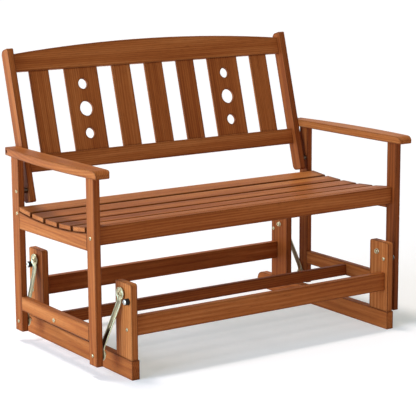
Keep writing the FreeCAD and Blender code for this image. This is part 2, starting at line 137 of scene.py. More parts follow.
@dataclass(frozen=True)
class Pattern:
    """Soft noise between 0 and 1, which may be drawn out along a board's fibres.

    Attributes:
        across: Features per metre across the fibres.
        along: Features per metre along the fibres.
        detail: How many finer layers it has.
        weight: How strongly it shows.
        roughness: How strong the finer layers are.
    """

    across: float
    along: float
    detail: float
    weight: float = 1.0
    roughness: float = 0.5

    @classmethod
    def even(cls, scale: float, detail: float, weight: float = 1.0) -> "Pattern":
        """Return a pattern that is the same in all directions."""
        return cls(scale, scale, detail, weight)


@dataclass(frozen=True)
class Relief:
    """The fine relief of a surface, and how soft its edges look.

    Attributes:
        depth: The relief's depth in metres.
        edge_radius: The radius in metres to which sharp edges are rounded.
        strength: How much of the relief shows.
    """

    depth: float
    edge_radius: float
    strength: float


def opaque(colour: Colour) -> tuple[float, float, float, float]:
    """Return a colour with full opacity."""
    return (*colour, 1.0)


class NodeGraph:
    """A node tree, with short calls for the nodes that the finishes and the studio share."""

    def __init__(self, owner: bpy.types.Material | bpy.types.World) -> None:
        """Start an empty tree.

        Args:
            owner: The material or world that the tree belongs to.
        """
        owner.use_nodes = True
        self.owner = owner
        self.tree = owner.node_tree
        self.tree.nodes.clear()

    @classmethod
    def of_material(cls, name: str) -> "NodeGraph":
        """Start the tree of a new material."""
        return cls(bpy.data.materials.new(name))

    def add(self, kind: str, **settings: str | int) -> bpy.types.Node:
        """Add one node and set its properties.

        Args:
            kind: The node's type name.
            settings: Properties to set on the node.

        Returns:
            The new node.
        """
        node = self.tree.nodes.new(kind)
        for key, value in settings.items():
            setattr(node, key, value)
        return node

    def feed(self, socket: Socket, value: Value) -> None:
        """Give an input socket a link or a plain value.

        Args:
            socket: The input to fill.
            value: An output socket, or a value for the socket.
        """
        if isinstance(value, Socket):
            self.tree.links.new(value, socket)
        else:
            socket.default_value = value

    def filled(self, kind: str, inputs: dict[str, Value], **settings: str | int) -> bpy.types.Node:
        """Add one node and fill its inputs.

        Args:
            kind: The node's type name.
            inputs: The inputs' names, and their links or values.
            settings: Properties to set on the node.

        Returns:
            The new node.
        """
        node = self.add(kind, **settings)
        for key, value in inputs.items():
            self.feed(node.inputs[key], value)
        return node

    def maths(self, operation: str, *values: Value) -> Socket:
        """Add a Math node.

        Args:
            operation: The operation's name.
            values: Its inputs, as sockets or numbers.

        Returns:
            The node's output.
        """
        node = self.add("ShaderNodeMath", operation=operation)
        for socket, value in zip(node.inputs, values):
            self.feed(socket, value)
        return node.outputs[0]

    def vector_maths(self, operation: str, *vectors: Socket) -> Socket:
        """Add a Vector Math node whose result is a number.

        Args:
            operation: The operation's name.
            vectors: Its inputs.

        Returns:
            The number.
        """
        node = self.add("ShaderNodeVectorMath", operation=operation)
        for socket, vector in zip(node.inputs, vectors):
            self.feed(socket, vector)
        return node.outputs["Value"]

    def mapped(
        self,
        vector: Socket,
        location: Point = (0.0, 0.0, 0.0),
        rotation: Point = (0.0, 0.0, 0.0),
        scale: Point = (1.0, 1.0, 1.0),
    ) -> Socket:
        """Scale, turn and then move coordinates.

        Args:
            vector: The coordinates.
            location: The shift in metres.
            rotation: Turns about X, Y and Z in radians.
            scale: The factors along X, Y and Z.

        Returns:
            The changed coordinates.
        """
        inputs = {"Vector": vector, "Location": location, "Rotation": rotation, "Scale": scale}
        return self.filled("ShaderNodeMapping", inputs).outputs["Vector"]

    def noise(self, vector: Socket, pattern: Pattern) -> Socket:
        """Add soft noise.

        Args:
            vector: The coordinates it reads, whose Z runs along the fibres.
            pattern: Its size and its finer layers.

        Returns:
            The noise value.
        """
        drawn_out = self.mapped(vector, scale=(pattern.across, pattern.across, pattern.along))
        inputs = {
            "Vector": drawn_out,
            "Scale": 1.0,
            "Detail": pattern.detail,
            "Roughness": pattern.roughness,
        }
        return self.filled("ShaderNodeTexNoise", inputs).outputs[0]

    def span(self, value: Socket, low: float, high: float, to_low: float, to_high: float) -> Socket:
        """Carry one range of values onto another, held at its ends.

        Args:
            value: The value to carry.
            low: The start of the first range.
            high: The end of the first range.
            to_low: The start of the new range.
            to_high: The end of the new range.

        Returns:
            The value in the new range.
        """
        inputs = {
            "Value": value,
            "From Min": low,
            "From Max": high,
            "To Min": to_low,
            "To Max": to_high,
        }
        return self.filled("ShaderNodeMapRange", inputs).outputs["Result"]

    def varied(self, noise: Socket, limits: tuple[float, float]) -> Socket:
        """Carry soft noise from the limits that it mostly lies between onto a new pair."""
        return self.span(noise, *NOISE_LIMITS, *limits)

    def ramp(self, value: Socket, stops: Stops) -> Socket:
        """Turn a value into a colour along a row of stops.

        Args:
            value: The value to colour.
            stops: Pairs of a place from 0 to 1 and a linear colour.

        Returns:
            The colour.
        """
        node = self.filled("ShaderNodeValToRGB", {"Fac": value})
        elements = node.color_ramp.elements
        while len(elements) < len(stops):
            elements.new(0.5)
        for element, (place, colour) in zip(elements, stops):
            element.position = place
            element.color = opaque(colour)
        return node.outputs["Color"]

    def mixed_towards(self, colour: Socket, factor: Socket, target_colour: Colour) -> Socket:
        """Blend a colour towards another, such as a stain or a painted shade.

        Args:
            colour: The colour before the blend.
            factor: How much of the other colour is used, from 0 to 1.
            target_colour: The colour blended towards, a stain's or a painted shade's.

        Returns:
            The blended colour.
        """
        node = self.add("ShaderNodeMix", data_type="RGBA")
        sockets = {socket.identifier: socket for socket in node.inputs}
        self.feed(sockets["Factor_Float"], factor)
        self.feed(sockets["A_Color"], colour)
        self.feed(sockets["B_Color"], opaque(target_colour))
        return next(socket for socket in node.outputs if socket.identifier == "Result_Color")

    def surface_normal(self) -> Socket:
        """Return the surface's own normal."""
        return self.add("ShaderNodeNewGeometry").outputs["Normal"]

    def soft_normal(self, radius: float) -> Socket:
        """Return the normal with sharp edges rounded to a radius in metres."""
        return self.filled("ShaderNodeBevel", {"Radius": radius}, samples=4).outputs["Normal"]

    def near_edge(self, reach: float) -> Socket:
        """Return 1 on a sharp edge and 0 away from it.

        The value rises as the rounded normal turns away from the surface's own, between the
        two angles whose cosines are given at the top.

        Args:
            reach: How far from the edge it begins, in metres.

        Returns:
            The value.
        """
        agreement = self.vector_maths("DOT_PRODUCT", self.soft_normal(reach), self.surface_normal())
        return self.span(agreement, *EDGE_COSINES, 0.0, 1.0)

    def facing(self, axis: int) -> Socket:
        """Return how squarely the surface faces along one axis, from 0 to 1."""
        split = self.filled("ShaderNodeSeparateXYZ", {"Vector": self.surface_normal()})
        return self.maths("ABSOLUTE", split.outputs[axis])

    def bumped(self, height: Socket, relief: Relief) -> Socket:
        """Return a normal with fine relief and softened edges.

        Args:
            height: The relief's height from 0 to 1.
            relief: Its depth and strength, and the edges' radius.

        Returns:
            The normal.
        """
        inputs = {
            "Strength": relief.strength,
            "Distance": relief.depth,
            "Height": height,
            "Normal": self.soft_normal(relief.edge_radius),
        }
        return self.filled("ShaderNodeBump", inputs).outputs["Normal"]

    def object_coordinates(self) -> Socket:
        """Return the piece's own coordinates, which are the part's frame."""
        return self.add("ShaderNodeTexCoord").outputs["Object"]

    def seen_directly(self) -> Socket:
        """Return 1 where a ray comes from the camera, a reflection or glass, and otherwise 0.

        Returns:
            The value, which is the largest of the light path's three marks.
        """
        path = self.add("ShaderNodeLightPath").outputs
        mirrored = self.maths("MAXIMUM", path["Is Camera Ray"], path["Is Glossy Ray"])
        return self.maths("MAXIMUM", mirrored, path["Is Transmission Ray"])

    def finish(self, shader: Socket) -> None:
        """Join a shader to the tree's output.

        Args:
            shader: The shader's socket.
        """
        is_world = isinstance(self.owner, bpy.types.World)
        kind = "ShaderNodeOutputWorld" if is_world else "ShaderNodeOutputMaterial"
        self.filled(kind, {"Surface": shader})

    def surface(self, **inputs: Value) -> bpy.types.Material:
        """Add the surface shader and join it to the output.

        Args:
            inputs: Socket names, with spaces as underscores, and their links or values.

        Returns:
            The finished material.
        """
        named = {key.replace("_", " "): value for key, value in inputs.items()}
        self.finish(self.filled("ShaderNodeBsdfPrincipled", named).outputs["BSDF"])
        return self.owner


@dataclass(frozen=True)
class StainedWood:
    """Reddish-brown stained and oiled hardwood with growth rings, fibres and open pores."""

    stops: Stops = (
        (0.0, (0.15, 0.031, 0.006)),
        (0.32, (0.285, 0.068, 0.0135)),
        (0.6, (0.415, 0.117, 0.025)),
        (1.0, (0.61, 0.225, 0.065)),
    )
    # Dark stain in the open pores, also the colour of the painted shade along edges and on slat
    # flanks.
    stain_and_shade: Colour = (0.06, 0.014, 0.004)
    wander: Pattern = Pattern(6.0, 0.9, 3.0, 0.03)
    bands: Pattern = Pattern(26.0, 1.3, 2.0, 0.62)
    fibres: Pattern = Pattern(420.0, 7.0, 3.0, 0.5, 0.65)
    streaks: Pattern = Pattern(110.0, 2.4, 2.0, 0.5)
    pores: Pattern = Pattern(1500.0, 36.0, 1.0, 0.55)
    pore_limits: tuple[float, float] = (0.6, 0.72)
    pore_depth: float = 0.8
    ring_spacing: float = 0.0065
    ring_weight: float = 0.09
    middle_tone: float = 0.525
    tone_step: float = 0.055
    # Painted shade: a dark line along every edge of a board, as far as edge_reach from it.
    edge_reach: float = 0.008
    edge_shade_depth: float = 0.75
    # Painted shade on the seat slats' front and back sides, which face the gaps between slats.
    flank_shade_limits: tuple[float, float] = (0.55, 0.85)
    flank_shade_depth: float = 0.6
    roughness: tuple[float, float] = (0.42, 0.56)
    gloss: float = 0.06
    relief: Relief = Relief(0.00035, 0.0022, 0.5)
    rake: float = math.radians(15.6)
    first_seed: int = 700
    heart_across: tuple[float, float] = (0.05, 0.12)
    heart_deep: tuple[float, float] = (0.03, 0.09)
    log_half: float = 3.0

    def fibre_coordinates(self, graph: NodeGraph, grain: Grain, shift: Point) -> Socket:
        """Return coordinates whose Z runs along the board.

        Args:
            graph: The material being made.
            grain: The direction of the fibres.
            shift: A place in the log, in metres, so that no two boards match.

        Returns:
            The coordinates.
        """
        place = graph.object_coordinates()
        if grain is Grain.RAKED:
            place = graph.mapped(place, rotation=(self.rake, 0.0, 0.0))
        split = graph.filled("ShaderNodeSeparateXYZ", {"Vector": place})
        axes = [split.outputs[axis] for axis in grain.axes]
        joined = graph.filled("ShaderNodeCombineXYZ", dict(zip("XYZ", axes)))
        return graph.mapped(joined.outputs[0], location=shift)

    def rings(self, graph: NodeGraph, along: Socket) -> Socket:
        """Return the growth rings: a sine of the distance from the log's heart.

        Args:
            graph: The material being made.
            along: Coordinates whose Z runs along the board.

        Returns:
            A value from -1 to 1.
        """
        radius = graph.vector_maths("LENGTH", graph.mapped(along, scale=(1.0, 1.0, 0.0)))
        wander = graph.noise(along, self.wander)
        bent = graph.maths("MULTIPLY_ADD", wander, self.wander.weight, radius)
        return graph.maths("SINE", graph.maths("MULTIPLY", bent, math.tau / self.ring_spacing))

    def material(
        self, name: str, grain: Grain, number: int, paler: float = 0.0, shade_flanks: bool = False
    ) -> bpy.types.Material:
        """Make one board's material.

        The tone is the sum of the rings, long bands of colour, the fibres and short streaks,
        each times its weight, about the board's own level. Stain darkens the pores. Painted
        shade darkens every edge, and where asked the sides that face front and back.

        Args:
            name: The board's name.
            grain: The direction of its fibres.
            number: The board's number, which picks its place in the log.
            paler: How much paler than the others the board is, or darker where it's below zero.
            shade_flanks: Whether painted shade darkens the sides that face front and back.

        Returns:
            The material.
        """
        graph = NodeGraph.of_material(f"stained_wood_{name}")
        draw = np.random.default_rng(self.first_seed + number)
        heart = np.array([draw.uniform(*self.heart_across), draw.uniform(*self.heart_deep)])
        heart = heart * draw.choice([-1, 1], 2)
        shift = (float(heart[0]), float(heart[1]), draw.uniform(-self.log_half, self.log_half))
        level = self.middle_tone + self.tone_step * float(draw.normal()) + paler
        along = self.fibre_coordinates(graph, grain, shift)
        figure = (self.bands, self.fibres, self.streaks)
        base = level - 0.5 * sum(pattern.weight for pattern in figure)
        tone = graph.maths("MULTIPLY_ADD", self.rings(graph, along), self.ring_weight, base)
        bands, fibres, streaks = (graph.noise(along, pattern) for pattern in figure)
        for noise, pattern in zip((bands, fibres, streaks), figure):
            tone = graph.maths("MULTIPLY_ADD", noise, pattern.weight, tone)
        pores = graph.noise(along, self.pores)
        open_pores = graph.span(pores, *self.pore_limits, 0.0, self.pores.weight)
        colour = graph.mixed_towards(graph.ramp(tone, self.stops), open_pores, self.stain_and_shade)
        # Painted shade along every edge of the board.
        edge_shading = graph.maths("MULTIPLY", graph.near_edge(self.edge_reach), self.edge_shade_depth)
        colour = graph.mixed_towards(colour, edge_shading, self.stain_and_shade)
        # Painted shade on the sides that face front and back.
        if shade_flanks:
            flank_shading = graph.span(graph.facing(1), *self.flank_shade_limits, 0.0, self.flank_shade_depth)
            colour = graph.mixed_towards(colour, flank_shading, self.stain_and_shade)
        sunk = graph.maths("MULTIPLY", open_pores, self.pore_depth)
        return graph.surface(
            Base_Color=colour,
            Roughness=graph.varied(fibres, self.roughness),
            Specular_IOR_Level=self.gloss,
            Normal=graph.bumped(graph.maths("SUBTRACT", fibres, sunk), self.relief),
        )


@dataclass(frozen=True)
class YellowZinc:
    """Yellow zinc plated pressed steel, pale on its lips, with painted shade in its channel."""

    stops: Stops = (
        (0.0, (0.34, 0.3, 0.15)),
        (0.4, (0.49, 0.47, 0.28)),
        (0.7, (0.6, 0.6, 0.42)),
        (1.0, (0.74, 0.74, 0.6)),
    )
    # Painted shade: the dark colour that the arms' channels are blended towards.
    dirt_and_painted_shade: Colour = (0.055, 0.03, 0.011)
    dirt_and_shade_limits: tuple[float, float] = (0.8, 1.0)
    clouds: Pattern = Pattern.even(38.0, 4.0, 0.85)
    grit: Pattern = Pattern.even(620.0, 3.0, 0.25)
    metallic: float = 0.9
    roughness: tuple[float, float] = (0.26, 0.42)
    relief: Relief = Relief(0.0001, 0.0006, 0.4)

    def material(self, name: str) -> bpy.types.Material:
        """Make the plating, with cloudy colour, a brushed relief and painted shade in the channel.

        The piece's own "recess" value, 1 in the channel, sets how much painted shade shows.

        Args:
            name: The piece's name.

        Returns:
            The material.
        """
        graph = NodeGraph.of_material(f"yellow_zinc_{name}")
        place = graph.object_coordinates()
        clouds, grit = graph.noise(place, self.clouds), graph.noise(place, self.grit)
        cloudy = graph.maths("MULTIPLY", clouds, self.clouds.weight)
        tone = graph.maths("MULTIPLY_ADD", grit, self.grit.weight, cloudy)
        recess = graph.add("ShaderNodeAttribute", attribute_name="recess").outputs["Fac"]
        # Painted shade: the channel darkens by the piece's "recess" value, unevenly with the
        # clouds.
        uneven_shade = graph.maths("MULTIPLY", recess, graph.varied(clouds, self.dirt_and_shade_limits))
        return graph.surface(
            Base_Color=graph.mixed_towards(graph.ramp(tone, self.stops), uneven_shade, self.dirt_and_painted_shade),
            Metallic=self.metallic,
            Roughness=graph.varied(clouds, self.roughness),
            Normal=graph.bumped(grit, self.relief),
        )


@dataclass(frozen=True)
class BoltSteel:
    """Plated steel fixings, with dull patches."""

    plating: Plating = Plating.YELLOWED
    dirt_and_painted_shade: Pattern = Pattern.even(260.0, 3.0)
    dirt_and_shade_limits: tuple[float, float] = (0.35, 0.6)
    metallic: float = 0.9
    roughness: tuple[float, float] = (0.24, 0.4)
    relief: Relief = Relief(0.00008, 0.0004, 0.3)

    def material(self, name: str) -> bpy.types.Material:
        """Make the fixings' metal.

        Args:
            name: The material's name.

        Returns:
            The material.
        """
        graph = NodeGraph.of_material(name)
        dirt_and_painted_shade = graph.noise(graph.object_coordinates(), self.dirt_and_painted_shade)
        clean, dull = self.plating.value
        return graph.surface(
            Base_Color=graph.ramp(dirt_and_painted_shade, tuple(zip(self.dirt_and_shade_limits, (dull, clean)))),
            Metallic=self.metallic,
            Roughness=graph.varied(dirt_and_painted_shade, self.roughness),
            Normal=graph.bumped(dirt_and_painted_shade, self.relief),
        )


@dataclass(frozen=True)
class BumperRubber:
    """Black moulded rubber with a faint dusty bloom."""

    stops: Stops = ((0.3, (0.006, 0.006, 0.006)), (0.75, (0.018, 0.018, 0.017)))
    bloom: Pattern = Pattern.even(340.0, 4.0)
    roughness: tuple[float, float] = (0.5, 0.72)
    gloss: float = 0.25
    relief: Relief = Relief(0.00012, 0.001, 0.4)

    def material(self, name: str) -> bpy.types.Material:
        """Make the rubber.

        Args:
            name: The material's name.

        Returns:
            The material.
        """
        graph = NodeGraph.of_material(name)
        bloom = graph.noise(graph.object_coordinates(), self.bloom)
        return graph.surface(
            Base_Color=graph.ramp(bloom, self.stops),
            Roughness=graph.varied(bloom, self.roughness),
            Specular_IOR_Level=self.gloss,
            Normal=graph.bumped(bloom, self.relief),
        )


def dress(piece: bpy.types.Object, material: bpy.types.Material) -> None:
    """Give every slot of a piece one material.

    Args:
        piece: The piece, or a CAD node's object.
        material: Its finish.
    """
    if not piece.material_slots:
        piece.data.materials.append(material)
    for slot in piece.material_slots:
        slot.link = "OBJECT"
        slot.material = material


@dataclass
class Shell:
    """A closed surface: rings of points in order, with a pole that closes each end.

    Attributes:
        rings: The points, an array of rings by columns by three.
        poles: The two end points.
        shade: One value for each point of the rings, which a finish may read.
    """

    rings: np.ndarray
    poles: np.ndarray
    shade: np.ndarray | None = None

    def points(self) -> np.ndarray:
        """Return all points in one list, the two poles last."""
        return np.concatenate((self.rings.reshape(-1, 3), self.poles))

    def shades(self) -> np.ndarray:
        """Return the value at each point, with each pole taking the mean of its ring."""
        shade = np.zeros(self.rings.shape[:2]) if self.shade is None else self.shade
        return np.concatenate((shade.ravel(), (shade[0].mean(), shade[-1].mean())))

    def faces(self) -> tuple[np.ndarray, np.ndarray]:
        """Return the four-sided and three-sided faces, turned so that they all face outwards.

        Each face joins a point to its neighbours on its own ring and the next one. The shell's
        signed volume, a sum over its triangles of a corner times the cross product of the other
        two, tells which way they face.

        Returns:
            Two arrays of point numbers.
        """
        rows, columns = self.rings.shape[:2]
        here = np.arange(rows * columns).reshape(rows, columns)
        beside = np.roll(here, -1, axis=1)
        quads = np.stack((here[:-1], beside[:-1], beside[1:], here[1:]), axis=-1).reshape(-1, 4)
        first = np.full(columns, rows * columns)
        start_cap = np.stack((beside[0], here[0], first), axis=-1)
        end_cap = np.stack((here[-1], beside[-1], first + 1), axis=-1)
        caps = np.concatenate((start_cap, end_cap))
        triangles = np.concatenate((quads[:, [0, 1, 2]], quads[:, [0, 2, 3]], caps))
        corners = self.points()[triangles]
        normals = np.cross(corners[:, 1], corners[:, 2])
        volume = np.einsum("ij,ij->", corners[:, 0], normals)
        if volume < 0.0:
            return quads[:, ::-1], caps[:, ::-1]
        return quads, caps

    def mirrored(self, hand: Hand) -> "Shell":
        """Return a right-hand shell on the given side of the bench."""
        flip = np.array([hand.value, 1.0, 1.0])
        return Shell(self.rings * flip, self.poles * flip, self.shade)


def circles(*rows: tuple[float, float]) -> Profile:
    """Return the round rows of a profile from pairs of a radius and a place."""
    return tuple((radius, place, 0.0) for radius, place in rows)


def hexagons(*rows: tuple[float, float]) -> Profile:
    """Return the hexagonal rows of a profile from pairs of a radius and a place."""
    return tuple((radius, place, 1.0) for radius, place in rows)


def turned(
    profile: Profile,
    y: float,
    z: float,
    start: float = 0.0,
    outward: float = 1.0,
    columns: int = 48,
) -> Shell:
    """Turn a profile about a line along X.

    At the angle t a point stands at the profile's radius from the line. Where the profile's
    third value is 1 the radius is divided by the cosine of the angle from the nearest flat's
    middle, which makes a hexagon whose flats are that radius away.

    Args:
        profile: Rows of radius, place along the line and squareness of the hexagon, in
            millimetres. The first and last rows have no radius and are the poles.
        y: The line's place front to back, in metres.
        z: The line's height, in metres.
        start: What is added to the places, in metres.
        outward: 1 if the places run towards +X, or -1.
        columns: How many points go round.

    Returns:
        The closed shell.
    """
    rows = np.array(profile) * np.array([MILLIMETRE, MILLIMETRE, 1.0])
    radius, place, squareness = rows[1:-1, :1], rows[1:-1, 1:2], rows[1:-1, 2:]
    angle = np.arange(columns)[None, :] * (2.0 * np.pi / columns)
    half_flat = np.pi / FLATS
    from_flat = np.mod(angle + half_flat, 2.0 * half_flat) - half_flat
    reach = radius * (1.0 + squareness * (1.0 / np.cos(from_flat) - 1.0))
    x = start + outward * np.broadcast_to(place, reach.shape)
    rings = np.stack((x, y + reach * np.cos(angle), z + reach * np.sin(angle)), axis=-1)
    ends = rows[[0, -1], 1]
    poles = np.stack((start + outward * ends, np.full(2, y), np.full(2, z)), axis=-1)
    return Shell(rings, poles)


def both_hands(shells: list[Shell]) -> list[Shell]:
    """Return right-hand shells on the left of the bench and on its right."""
    return [shell.mirrored(hand) for hand in Hand for shell in shells]


def make_piece(
    name: str,
    shells: list[Shell],
    material: bpy.types.Material,
    body: str,
    replaced: str | None = None,
    crease: float = CREASE,
) -> bpy.types.Object:
    """Join shells into one piece that rides on a body.

    Args:
        name: The piece's name.
        shells: The closed surfaces that it is made of.
        material: Its finish.
        body: The body that it rides on.
        replaced: The CAD node that it stands for, if any.
        crease: The angle in radians from which an edge stays sharp.

    Returns:
        The piece.
    """
    sizes = np.cumsum([0] + [len(shell.points()) for shell in shells])
    quads, triangles = [], []
    for shell, size in zip(shells, sizes):
        four, three = shell.faces()
        quads += (four + size).tolist()
        triangles += (three + size).tolist()
    points = np.concatenate([shell.points() for shell in shells])
    mesh = bpy.data.meshes.new(name)
    mesh.from_pydata(points.tolist(), [], quads + triangles)
    # The "recess" attribute holds the painted shade of the arms' channels, and 0 on other pieces.
    shade = mesh.attributes.new("recess", "FLOAT", "POINT")
    shade.data.foreach_set("value", np.concatenate([shell.shades() for shell in shells]))
    mesh.shade_smooth()
    mesh.set_sharp_from_angle(angle=crease)
    piece = bpy.data.objects.new(name, mesh)
    bpy.context.scene.collection.objects.link(piece)
    dress(piece, material)
    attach(piece, body)
    if replaced:
        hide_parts(replaced)
    log.info("%s: %d points, rides on %s", name, len(points), body)
    return piece


@dataclass(frozen=True)
class Linkage:
    """Where the arms' pivots are.

    Attributes:
        middle: The place front to back that is midway between the pivots.
        upper: Half the spacing of the upper pivots, and their height.
        lower: Half the spacing of the lower pivots, and their height.
    """

    middle: float
    upper: tuple[float, float]
    lower: tuple[float, float]

    @classmethod
    def from_record(cls, record: dict) -> "Linkage":
        """Read the pivots from the record's joints.

        Args:
            record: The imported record.

        Returns:
            The linkage.
        """
        places = {joint["name"]: joint["pos_m"] for joint in record["behaviour"]["joints"]}
        _, front_top, _ = places["front_left_arm_swing"]
        _, rear_top, top_height = places["rear_left_arm_swing"]
        _, front_foot, foot_height = places["bench_on_front_arm"]
        middle = (front_top + rear_top) / 2.0
        return cls(middle, (rear_top - middle, top_height), (middle - front_foot, foot_height))

    def top(self, end: End) -> tuple[float, float]:
        """Return an upper pivot's place front to back and its height."""
        return self.middle + end.value * self.upper[0], self.upper[1]

    def foot(self, end: End) -> tuple[float, float]:
        """Return a lower pivot's place front to back and its height."""
        return self.middle + end.value * self.lower[0], self.lower[1]


@dataclass
class Timber:
    """The wooden boards of the bench and the base, each with its own place in the log.

    Attributes:
        wood: The boards' finish.
        replaced: The start of the names of the boards that new pieces stand for.
        tone_and_shade_steps: How much paler, or darker below zero, some boards are made, by
        the start of their names. The first that fits counts. Part is each plank's own tone;
        the darker steps for the right-hand boards, the rear stretcher and the cross rail are
        painted shade.
    """

    wood: StainedWood
    replaced: str = "seat_bearer"
    # Painted shade: the darker steps for the right-hand boards, the rear stretcher and the cross
    # rail, which stand away from the lamps or under the seat.
    tone_and_shade_steps: tuple[tuple[str, float], ...] = (
        ("front_upright_left", 0.04),
        ("front_upright_right", 0.1),
        ("rear_upright_right", -0.12),
        ("front_leg_right", -0.24),
        ("front_leg", -0.13),
        ("rear_leg", -0.11),
        ("rear_stretcher", -0.09),
        ("cross_rail", -0.16),
        ("back_stile_right", -0.18),
        ("back_stile_left", -0.08),
        ("seat_slat", 0.05),
        ("lower_rail", 0.02),
        ("back_slat", 0.04),
        ("armrest", 0.05),
    )

    def grain_of(self, node: str) -> Grain:
        """Find the direction of a board's fibres from its name.

        Args:
            node: The board's CAD node.

        Returns:
            The direction, which is across the bench unless the name says otherwise.
        """
        if node.startswith(("back_stile", "back_slat", "back_panel")):
            return Grain.RAKED
        if "leg" in node or "upright" in node:
            return Grain.UPRIGHT
        if node.startswith(("armrest", "skid", "lower_rail", "seat_rail", "seat_bearer")):
            return Grain.FORE_AFT
        return Grain.ACROSS

    def paler(self, node: str) -> float:
        """Return how much paler a board is made: its plank's tone, and for some, painted shade."""
        return next((step for start, step in self.tone_and_shade_steps if node.startswith(start)), 0.0)

    def dress_nodes(self, frame: dict) -> None:
        """Give each wooden CAD node its own cut of the stained wood.

        Args:
            frame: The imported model's frame.
        """
        slots = {part["node"]: part["material_slot"] for part in frame["record"]["subparts"]}
        boards = sorted(node for node, slot in slots.items() if slot == Slot.WOOD.value)
        for number, node in enumerate(boards):
            if node.startswith(self.replaced):
                continue
            # Painted shade on the seat slats' sides that face the gaps between them.
            slat_flank_shade = node.startswith("seat_slat")
            cut = self.wood.material(node, self.grain_of(node), number, self.paler(node), slat_flank_shade)
            dress(frame["nodes"][node], cut)
            log.info("%s dressed", node)


@dataclass
class SeatBearers:
    """The three bearers under the seat, hollowed to carry the dished slats.

    Attributes:
        wood: Their finish.
        underside: The height of their lower faces.
        dish_radius: The radius of the circle that their top edges follow.
        dish_middle: That circle's middle, front to back and in height.
        arris: How far their corners are drawn in.
        stations: How many sections each has.
        first_number: The first one's number, past those of the other boards.
    """

    wood: StainedWood
    underside: float = 0.404
    dish_radius: float = 1.7148
    dish_middle: tuple[float, float] = (-0.016, 2.1405)
    arris: float = 0.0015
    stations: int = 40
    first_number: int = 90

    def bearer(self, node: str) -> Shell:
        """Carry a rounded oblong section along a bearer.

        The top is the dish's circle: the height of its middle less the root of its radius
        squared less the distance squared. Each section has two points at each corner of an
        oblong, drawn in by the arris, one across and one in height.

        Args:
            node: The CAD node, which gives the bearer's thickness and its place on plan.

        Returns:
            The bearer's shell.
        """
        (left, front, _), (right, back, _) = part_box(node)
        y = np.linspace(front, back, self.stations)
        middle_y, middle_z = self.dish_middle
        top = middle_z - np.sqrt(self.dish_radius**2 - (y - middle_y) ** 2)
        half_wide = (right - left) / 2.0
        half_high = ((top - self.underside) / 2.0)[:, None]
        centre = ((top + self.underside) / 2.0)[:, None]
        across = np.array([1, 1, -1, -1, -1, -1, 1, 1])
        upward = np.array([1, 1, 1, 1, -1, -1, -1, -1])
        drawn_in = np.array([False, True, True, False, False, True, True, False])
        side = across * np.where(drawn_in, half_wide - self.arris, half_wide)
        rise = upward * (half_high - np.where(drawn_in, 0.0, self.arris))
        x = np.broadcast_to((left + right) / 2.0 + side, rise.shape)
        rings = np.stack((x, np.broadcast_to(y[:, None], rise.shape), centre + rise), axis=-1)
        return Shell(rings, rings[[0, -1]].mean(axis=1))

    def build(self) -> None:
        """Make the three bearers in their own cuts of wood."""
        for number, place in enumerate(("left", "middle", "right"), self.first_number):
            name, node = f"dished_bearer_{place}", f"seat_bearer_{place}"
            cut = self.wood.material(name, Grain.FORE_AFT, number)
            make_piece(name, [self.bearer(node)], cut, "bench", node)


